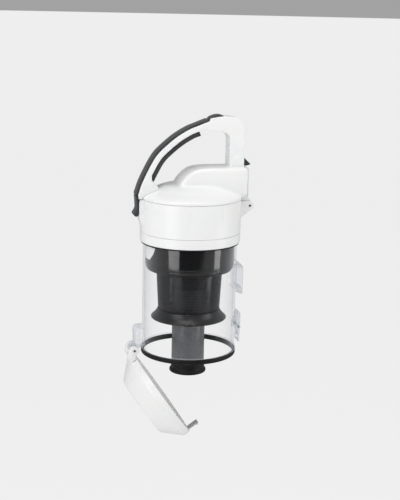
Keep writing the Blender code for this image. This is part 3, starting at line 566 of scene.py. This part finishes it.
def makeHead(form):
    low, high, deckLow, deckHigh = form["low"], form["high"], form["deckLow"], form["deckHigh"]
    outer, inner, hole = form["radius"], form["radius"] - form["wall"], form["deckHole"]
    step = (high - low - 0.9) / form["levels"]
    wall = [(outer, high - 0.4 - step * i) for i in range(form["levels"] + 1)]
    profile = [(outer - 0.5, high)] + wall + [(outer - 0.5, low), (inner, low)]
    profile += [(inner, deckLow), (hole, deckLow), (hole, deckHigh), (inner, deckHigh), (inner, high)]
    bm = lathe(profile, form["sides"])
    raisePanel(bm, panelForm, outer - 0.6, high + 40)       # it runs on into the cover, so it isn't faded
    piece = makeObject("headBody", bm)
    hinge = jointPoint("cover_hinge")
    prow = rounded([(-69.5, 184.0), (-71.0, 184.0), (-75.0, 196.0), (-75.0, 219.0), (-73.5, 221.9),
                    (-69.5, 221.9)], 2.0, skip=(0, 5))
    clawSlot = [(-77, 201.0), (-72.0, 201.0), (-72.0, 206.2), (-77, 206.2)]
    helpers = [(slab(prow, -form["prowHalf"], form["prowHalf"], 2.5, 4), "UNION"),
               (slab(clawSlot, -form["slotHalf"], form["slotHalf"]), "DIFFERENCE")]
    lug = [(70.2, 194.0), (hinge[0] + 1.5, hinge[1] - 6.1)] + arc(hinge, form["lugRadius"], -75, 100, 18)
    lug += [(70.2, hinge[1] + 5.5)]
    for side in (-1, 1):
        helpers.append((slab(lug, *onSide(side, form["lugIn"], form["lugOut"]), 0.8), "UNION"))
    helpers.append((pinBore("cover_hinge", pinHole["hinge"]), "DIFFERENCE"))
    combine(piece, helpers)
    standIn(piece, "head_body")


# cover: a dome and the outlet duct run together with soft corners

coverForm = {"rim": 222.4, "radius": 71.2, "wall": 2.4, "sides": 200, "ductHalf": 25.0, "ductRear": 75.5,
             "ductLow": 225.0, "ductTop": 266.3, "ductWall": 2.5, "ductEdge": 8.0, "ductFloor": 4.5,
             "armHalf": 6.0, "armRadius": 6.3, "voxel": 0.9, "passes": 14}
domeLine = [(71.0, 226.0), (64.5, 229.6), (55.0, 233.8), (44.0, 239.0), (30.0, 241.8), (0, 242.6)]
ductNose = [(-21.0, 243.0), (-17.5, 248.5), (-12.0, 255.0), (-6.0, 260.0), (1.0, 263.6), (9.0, 265.5),
            (20.0, 266.3)]


def makeCover(form):
    rim, outer, wall = form["rim"], form["radius"], form["wall"]
    half, rear, low, top = form["ductHalf"], form["ductRear"], form["ductLow"], form["ductTop"]
    dome = [(0, rim - 5), (outer, rim - 5), (outer, domeLine[0][1] - 1)]
    dome += [tuple(spot) for spot, normal in curveThrough(domeLine, 5)[:-1]] + [(0, domeLine[-1][1])]
    piece = makeObject("topCover", lathe(dome, form["sides"]))
    duct = [(-21.0, 234.0)] + [tuple(spot) for spot, normal in curveThrough(ductNose, 4)]
    duct += [(rear + 4, top), (rear + 4, low), (60.0, low), (50.0, 230.0)]
    combine(piece, [(slab(duct, -half, half, form["ductEdge"], 6, 50), "UNION")])
    soften(piece, form["voxel"], form["passes"])
    bm = bmesh.new()
    bm.from_mesh(piece.data)
    bmesh.ops.translate(bm, verts=bm.verts, vec=(0, 0, -rimHeight))
    bmesh.ops.scale(bm, vec=(1 / mm, 1 / mm, 1 / mm), verts=bm.verts)
    raisePanel(bm, panelForm, 60.0, 230.5)
    toWorld(bm)
    bm.to_mesh(piece.data)
    bm.free()
    # the hollow, the duct's way, its open end, and the hinge arm
    hinge = jointPoint("cover_hinge")
    inside = [(0, rim - 8), (outer + 20, rim - 8), (outer + 20, rim), (outer - wall, rim),
              (outer - wall, 225.0), (62.4, 228.2), (54.6, 231.4), (44.0, 236.6), (30.0, 239.4), (0, 240.2)]
    floor, skin = low + form["ductFloor"], form["ductWall"]
    way = [(-14.0, low - 1)] + [(y + 3.2, z - skin) for y, z in ductNose]
    way += [(82.0, top - skin), (82.0, floor), (50.0, floor), (50.0, low - 1)]
    arm = [(72.0, rim + 0.2), (70.0, rim + 0.2), (70.0, rim + 4.1), (74.5, rim + 4.1), (75.0, low - 0.2),
           (hinge[0] - 1.0, hinge[1] + 11.0)] + arc(hinge, form["armRadius"], 40, -165, 24) + [(73.6, 214.0)]
    combine(piece, [(lathe(inside), "DIFFERENCE"),
                    (slab(rounded(way, 3.0), skin - half, half - skin, 5.0, 4, 50), "DIFFERENCE"),
                    (block(-40, 40, rear, 90, 224, 280), "DIFFERENCE"),
                    (slab(arm, -form["armHalf"], form["armHalf"], 0.8), "UNION"),
                    (pinBore("cover_hinge", pinHole["hinge"]), "DIFFERENCE")])
    standIn(piece, "top_cover")


# handle: the arch, its bend into the rear column, and the soft strips on it

archLine = [(-80.0, 229.4), (-74.1, 246.7), (-64.3, 267.3), (-54.6, 283.8), (-43.9, 295.4), (-25.3, 310.8),
            (-7.5, 321.5), (4.4, 326.3), (18.0, 331.6), (29.6, 335.0), (44.7, 336.9)]
archSamples = curveThrough(archLine, 12)
handleForm = {"half": 13.0, "wall": 2.5, "band": 10.6, "bandEnd": 0.74, "bandLow": 255.0, "front": 52.0,
              "rear": 73.2, "low": 264.6, "outerBend": 22.5, "innerBend": 11.0, "voxel": 0.75, "passes": 12}
stripForm = {"half": 10.5, "thick": 2.8, "gap": 0.3, "end": 0.833, "foot": 1.1}
gripForm = {"half": 10.5, "gap": 0.3, "depth": 17.4, "start": 0.17, "lead": 0.035, "end": 0.7}


def along(depth, first, last):
    # points at a depth under the arch's top line, from one share of its length to another
    top = len(archSamples) - 1
    chosen = archSamples[round(first * top): round(last * top) + 1]
    return [tuple(spot - normal * depth) for spot, normal in chosen]


def makeHandleShell(form):
    front, rear, low = form["front"], form["rear"], form["low"]
    outerBend, innerBend = form["outerBend"], form["innerBend"]
    stripEnd = stripForm["end"]
    outline = [(-76.8, 229.0)] + along(stripForm["thick"] + stripForm["gap"], 0.0, stripEnd)
    outline += along(0.0, stripEnd + 0.02, 1.0)
    outline += arc((rear - outerBend, 314.5), outerBend, 72, 2, 24) + [(rear, low), (front, low)]
    outline += arc((front - innerBend, 304.0), innerBend, 0, 85, 16) + [(34.0, 316.6), (24.0, 317.0)]
    underside = along(form["band"], 0.0, form["bandEnd"])[::-1]
    outline += [spot for spot in underside if spot[1] > form["bandLow"]]
    outline += [(-58.0, 246.4), (-56.2, 245.6), (-52.0, 242.0), (-49.0, 239.6), (-48.6, 235.8),
                (-55.0, 233.2), (-64.6, 229.0), (-71.2, 225.2), (-71.2, 222.8), (-76.2, 222.8)]
    piece = makeObject("handleShell", slab(outline, -form["half"], form["half"]))
    soften(piece, form["voxel"], form["passes"])
    half, inFront, inRear = form["half"] - form["wall"], front + form["wall"], rear - form["wall"]
    hollows = [block(-half, half, inFront, inRear, 255, 282, 1.5),       # foot of the column
               block(-half, half, inFront, inRear, 284, 319.9, 1.5),     # rest of the column
               block(-3, 3, 63.2, 68.1, 275, 300),                       # the push rod's way down
               block(-4.2, 4.2, 24, 68.1, 319.2, 325.4),                 # its way along the arch
               block(-8, 8, 22.5, 43.5, 325.3, 350, 0.6),                # the button's seat
               block(-6.4, 6.4, inRear - 2, 80, 255, 278.8, 0.5),        # the catch's window
               block(-4.5, 4.5, -90, -70.9, 219.0, 231.4)]               # room for the latch's ear
    combine(piece, [(hollow, "DIFFERENCE") for hollow in hollows], 40)
    standIn(piece, "handle_shell")


def makeGripStrip(form):
    foot, normal = archSamples[0]
    below = foot - Vector((normal.y, -normal.x)) * form["foot"]
    strip = [tuple(below)] + along(0.0, 0.0, form["end"]) + along(form["thick"], 0.0, form["end"])[::-1]
    strip.append(tuple(below - normal * form["thick"]))
    piece = makeObject("gripStrip", slab(strip, -form["half"], form["half"], 1.2, 4, 50))
    standIn(piece, "grip_strip")


def makeInnerGrip(form):
    grip = along(handleForm["band"] + form["gap"], form["start"], form["end"])
    grip += along(form["depth"], form["start"] - form["lead"], form["end"])[::-1]
    piece = makeObject("innerGrip", slab(grip, -form["half"], form["half"], 2.0, 5, 50))
    standIn(piece, "inner_grip")


# release button with its stem

buttonForm = {"half": 7.5, "stemHalf": 3.4, "front": 22.9, "rear": 43.1, "low": 328.2, "stemLow": 325.3}


def makeReleaseButton(form):
    front, rear, low = form["front"], form["rear"], form["low"]
    outline = [(front, low), (rear, low), (rear, 337.6), (39.0, 338.9), (33.0, 338.6), (27.0, 336.6),
               (front, 334.2)]
    piece = makeObject("releaseButton", slab(rounded(outline, 1.5), -form["half"], form["half"], 1.0, 4))
    stem = block(-form["stemHalf"], form["stemHalf"], 27, 38, form["stemLow"], low + 1)
    combine(piece, [(stem, "UNION")])
    standIn(piece, "release_button")


# dock catch: a wedge with a sloped slot that the push rod bears on

catchForm = {"half": 6.0, "slotHalf": 2.6, "front": 61.8, "low": 267.4, "high": 278.4}


def makeDockCatch(form):
    front, low, high = form["front"], form["low"], form["high"]
    wedge = [(front, low), (75.0, low), (78.4, 266.8), (84.6, 268.8), (74.6, high), (front, high)]
    piece = makeObject("dockCatch", slab(rounded(wedge, 0.8), -form["half"], form["half"], 0.7))
    slot = slab([(72.0, 281.0), (72.0, 268.4), (64.1, 281.0)], -form["slotHalf"], form["slotHalf"])
    combine(piece, [(slot, "DIFFERENCE")])
    standIn(piece, "dock_catch")


# cover latch: the tab below the strip, with a nose behind it and an ear for its pin

latchForm = {"half": 10.0, "noseHalf": 6.0, "earHalf": 4.0, "earRadius": 2.6}


def makeCoverLatch(form):
    tab = [(-77.2, 227.1), (-76.3, 217.4), (-75.7, 206.5)] + arc((-79.0, 201.4), 3.5, 20, -190, 24)
    tab += [(-79.6, 206.6), (-78.6, 209.6), (-79.0, 217.4), (-79.9, 226.9)]
    nose = [(-77.6, 202.0), (-72.6, 202.0), (-72.6, 203.8), (-73.6, 205.3), (-77.6, 205.3)]
    ear = [(-77.6, 221.5), (-74.0, 223.6)]
    ear += arc(jointPoint("latch_pull"), form["earRadius"], -80, 100) + [(-77.6, 227.0)]
    piece = makeObject("coverLatch", slab(tab, -form["half"], form["half"], 0.9, 4, 40))
    combine(piece, [(slab(nose, -form["noseHalf"], form["noseHalf"], 0.3), "UNION"),
                    (slab(ear, -form["earHalf"], form["earHalf"], 0.3), "UNION"),
                    (pinBore("latch_pull", pinHole["small"]), "DIFFERENCE")], 40)
    standIn(piece, "cover_latch")


# flap: a shallow dish on two arms, made shut and then swung open about its hinge

flapForm = {"radius": 70.0, "wall": 1.6, "top": 0.7, "skirtLow": -9.3, "floor": -34.9, "floorRadius": 45.5,
            "knuckle": 6.6, "armIn": 9.1, "armOut": 15.8, "hookHalf": 5.0, "open": 55.0}


def swingOpen(bm):
    y, z = jointPoint("flap_hinge")
    turn = Matrix.Rotation(-math.radians(flapForm["open"]), 3, "X")
    bmesh.ops.rotate(bm, verts=bm.verts, cent=(0, y, z), matrix=turn)
    return bm


def makeFlap(form):
    wall, floor, outer, top = form["wall"], form["floor"], form["radius"], form["top"]
    floorRadius, skirtLow = form["floorRadius"], form["skirtLow"]
    outline = [(0, floor + wall), (floorRadius - 1.0, floor + wall), (outer - wall, skirtLow + 0.7),
               (outer - wall, top), (outer, top), (outer, skirtLow), (floorRadius, floor), (0, floor)]
    profile = rounded(outline, 2.5, 5, skip=(0, 3, 4, 7))
    piece = makeObject("flapDish", swingOpen(lathe(profile[::-1])))
    arm = [(-69.2, -8.6), (-69.2, 0.4), (-73.6, 2.2)]
    arm += arc(jointPoint("flap_hinge"), form["knuckle"], -15, 195, 24) + [(-85.0, -1.5), (-77.5, -8.6)]
    helpers = [(slab(arm, *onSide(side, form["armIn"], form["armOut"]), 0.8), "UNION") for side in (-1, 1)]
    helpers += [(pinBore("flap_hinge", pinHole["hinge"]), "DIFFERENCE"),
                (block(-8.0, 8.0, 68.9, 73.6, -9.0, 0.4, 0.8), "UNION"),         # the hook's seat
                (block(-5.4, 5.4, 69.5, 72.1, -7.6, 4.0), "DIFFERENCE")]         # the slot in it
    combine(piece, [(swingOpen(bm), operation) for bm, operation in helpers])
    standIn(piece, "flap")
    hook = [(69.7, -7.2), (71.9, -7.2), (71.9, 13.2), (73.4, 13.2), (73.4, 14.8), (71.9, 17.6), (69.7, 17.6)]
    solid = slab(rounded(hook, 0.4), -form["hookHalf"], form["hookHalf"], 0.3)
    standIn(makeObject("flapHook", swingOpen(solid)), "flap_hook", hookGrey)


# rocker: the clear lever that lets the hook go, with a window for it

rockerForm = {"half": 10.0, "windowHalf": 5.5, "windowLow": 13.2, "windowHigh": 18.4}


def makeRocker(form):
    outline = [(72.2, 9.6), (73.8, 9.6), (74.6, 33.0), (75.2, 49.0), (74.0, 54.4), (72.0, 54.4), (70.6, 50.0),
               (69.4, 35.0), (69.6, 31.0), (72.2, 25.0)]
    piece = makeObject("rocker", slab(rounded(outline, 1.2), -form["half"], form["half"], 0.6))
    half, low, high = form["windowHalf"], form["windowLow"], form["windowHigh"]
    window = block(-half, half, 60, 80, low, high, 0.5)
    combine(piece, [(pinBore("rocker_press", pinHole["small"]), "DIFFERENCE"), (window, "DIFFERENCE")])
    standIn(piece, "flap_release_rocker")


# label: a blank shield that lies round the band

labelForm = {"low": 138.0, "high": 156.5, "radius": 63.4, "thick": 0.25, "steps": 90, "corner": 4.0,
             "halfTop": 31.5, "halfLow": 14.0}


def makeLabel(form):
    inner, outer, low, high = form["radius"], form["radius"] + form["thick"], form["low"], form["high"]
    sheet = lathe([(outer, high), (outer, low), (inner, low), (inner, high)], form["steps"], 225.0, 90.0)
    piece = makeObject("labelShield", sheet)
    halfTop, halfLow = form["halfTop"], form["halfLow"]
    shield = [(-halfTop, 160.0), (halfTop, 160.0), (26.5, 148.0), (20.0, 140.5), (halfLow, 136.0),
              (-halfLow, 136.0), (-20.0, 140.5), (-26.5, 148.0)]
    cutter = bmesh.new()
    face = cutter.faces.new([cutter.verts.new((x, -75, z)) for x, z in rounded(shield, form["corner"])])
    pushed = bmesh.ops.extrude_face_region(cutter, geom=[face])
    bmesh.ops.translate(cutter, verts=movedVerts(pushed), vec=(0, 60, 0))
    bmesh.ops.recalc_face_normals(cutter, faces=cutter.faces)
    combine(piece, [(cutter, "INTERSECT")])
    standIn(piece, "label_plate")


makeClearBin(binForm)
makeTurned()
makeScreen(screenForm)
print("bin and separator made")
makeHead(headForm)
makeCover(coverForm)
print("head and cover made")
makeHandleShell(handleForm)
makeGripStrip(stripForm)
makeInnerGrip(gripForm)
makeReleaseButton(buttonForm)
makeDockCatch(catchForm)
makeCoverLatch(latchForm)
print("handle, button and latch made")
makeFlap(flapForm)
makeRocker(rockerForm)
makeLabel(labelForm)
print("flap, rocker and label made")


# floor, lights, camera and air, in metres and degrees

studio = {"floor": -0.75, "floorRadius": 60.0, "grey": "#efefef", "glow": 0.93, "aim": (0, 0, -0.18),
          "eye": (1.5498, -0.3578, 0.1828), "yaw": -0.528, "pitch": -12.489, "roll": 1.217, "lens": 82.51,
          "air": 0.42, "darkAir": 0.02}
lamps = {       # place, width, height, watts
    "softboxLeft": ((0.8, -1.05, 0.1), 0.72, 1.7, 7.2),
    "softboxRight": ((0.6, 1.15, 0.1), 0.45, 1.7, 5.5),
    "softboxTop": ((0.35, -0.2, 1.5), 1.3, 1.3, 13),
}


def makeFloor(form):
    bm = bmesh.new()
    bmesh.ops.create_circle(bm, cap_ends=True, segments=64, radius=form["floorRadius"])
    bmesh.ops.translate(bm, verts=bm.verts, vec=(0, 0, form["floor"]))
    mesh = bpy.data.meshes.new("studioFloor")
    bm.to_mesh(mesh)
    bm.free()
    material, _, shader, _ = startMaterial("pale floor painted", "#4a4a4a", 0.95)
    shader.inputs["Emission Color"].default_value = hexColour(form["grey"])
    shader.inputs["Emission Strength"].default_value = form["glow"]     # evens it out, like a lit backdrop
    mesh.materials.append(material)
    floor = bpy.data.objects.new("studioFloor", mesh)
    floor.visible_glossy = False        # the polished black parts would mirror it and turn grey
    bpy.context.scene.collection.objects.link(floor)


def addLamp(name, place, width, height, watts):
    data = bpy.data.lights.new(name, "AREA")
    data.shape, data.size, data.size_y, data.energy = "RECTANGLE", width, height, watts
    lamp = bpy.data.objects.new(name, data)
    aim = Vector(studio["aim"]) - Vector(place)
    lamp.matrix_world = Matrix.LocRotScale(Vector(place), aim.to_track_quat("-Z", "Y"), None)
    bpy.context.scene.collection.objects.link(lamp)


def addCamera(form):
    # seen from the side and a little from the front, slightly from above
    place = Vector(form["eye"])
    yaw, pitch, roll = [math.radians(form[turn]) for turn in ("yaw", "pitch", "roll")]
    level = Matrix.Rotation(yaw, 3, "Z") @ Vector((-place.x, -place.y, 0)).normalized()
    right = level.cross(Vector((0, 0, 1))).normalized()
    forward = math.cos(pitch) * level + Vector((0, 0, math.sin(pitch)))
    up = right.cross(forward)
    right, up = math.cos(roll) * right + math.sin(roll) * up, math.cos(roll) * up - math.sin(roll) * right
    data = bpy.data.cameras.new("camera")
    data.lens, data.sensor_width, data.sensor_fit = form["lens"], 36.0, "AUTO"
    data.clip_end = 200.0
    camera = bpy.data.objects.new("camera", data)
    camera.matrix_world = Matrix((
        (right.x, up.x, -forward.x, place.x), (right.y, up.y, -forward.y, place.y),
        (right.z, up.z, -forward.z, place.z), (0, 0, 0, 1)))
    bpy.context.scene.collection.objects.link(camera)
    bpy.context.scene.camera = camera


def makeAir(form):
    # pale air all round; below the floor, on the eye's side, it is dark, and only polished faces show it
    world = bpy.data.worlds.new("studioAir")
    bpy.context.scene.world = world
    world.use_nodes = True
    tree = world.node_tree
    background = tree.nodes["Background"]
    background.inputs["Color"].default_value = hexColour(form["grey"])
    direction = addNode(tree, "ShaderNodeTexCoord").outputs["Generated"]
    facing = addNode(tree, "ShaderNodeVectorMath", {1: Vector(form["eye"]).normalized()}, {0: direction},
                     operation="DOT_PRODUCT")
    ahead = addNode(tree, "ShaderNodeMapRange", {"From Min": 0.65, "From Max": 0.85},
                    {"Value": facing.outputs["Value"]}, interpolation_type="SMOOTHSTEP")
    axes = addNode(tree, "ShaderNodeSeparateXYZ", None, {0: direction})
    under = addNode(tree, "ShaderNodeMapRange", {"From Min": 0.0, "From Max": -0.08},
                    {"Value": axes.outputs["Z"]})
    both = addNode(tree, "ShaderNodeMath", None, {0: ahead.outputs["Result"], 1: under.outputs["Result"]},
                   operation="MULTIPLY")
    level = addNode(tree, "ShaderNodeMapRange", {"To Min": form["air"], "To Max": form["darkAir"]},
                    {"Value": both.outputs["Value"]})
    tree.links.new(level.outputs["Result"], background.inputs["Strength"])


makeFloor(studio)
for lampName, (place, width, height, watts) in lamps.items():
    addLamp(lampName, place, width, height, watts)
addCamera(studio)
makeAir(studio)
bpy.context.scene.view_settings.view_transform = "Standard"
print("studio made")
